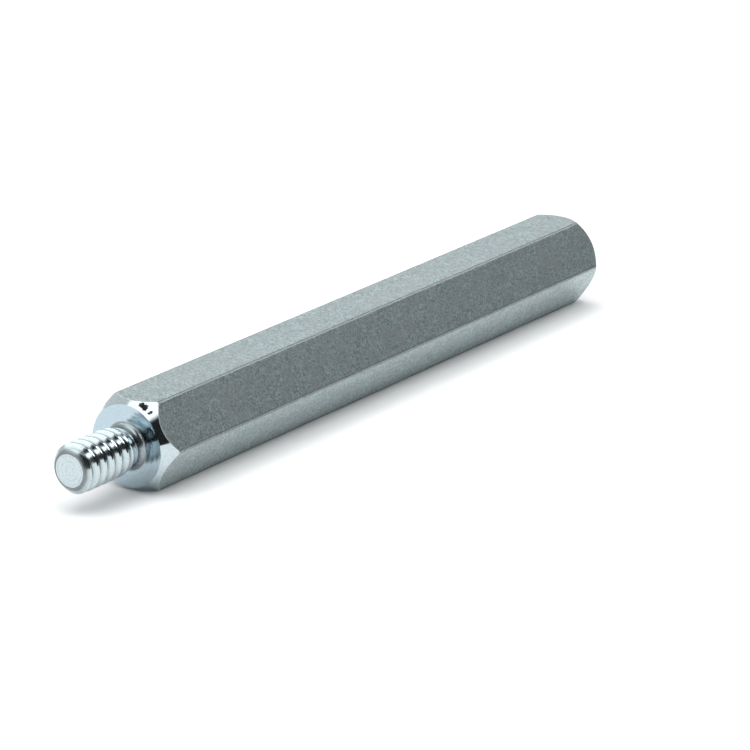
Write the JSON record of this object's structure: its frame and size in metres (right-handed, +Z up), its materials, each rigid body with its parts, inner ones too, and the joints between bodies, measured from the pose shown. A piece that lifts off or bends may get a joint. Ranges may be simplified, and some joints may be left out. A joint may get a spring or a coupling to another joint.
{
  "type": "hex standoff",
  "caption": "Zinc-plated steel hex spacer with a threaded stud at one end and a countersunk tapped hole at the other, lying on one flat.",
  "frame": {"origin": "on the lower flat, on its centre line, midway between the shoulder face and the end face", "axes": "+X along the axis from the stud towards the tapped end, +Z up from the flat that it lies on"},
  "size_m": [0.0601, 0.0072, 0.0063],
  "materials": {
    "zinc_plate": "clear blue zinc plate over drawn and turned steel, satin flats with a faint mottle and bright turned ends"
  },
  "bodies": {
    "root": {"hex_standoff": "zinc_plate"}
  },
  "joints": []
}
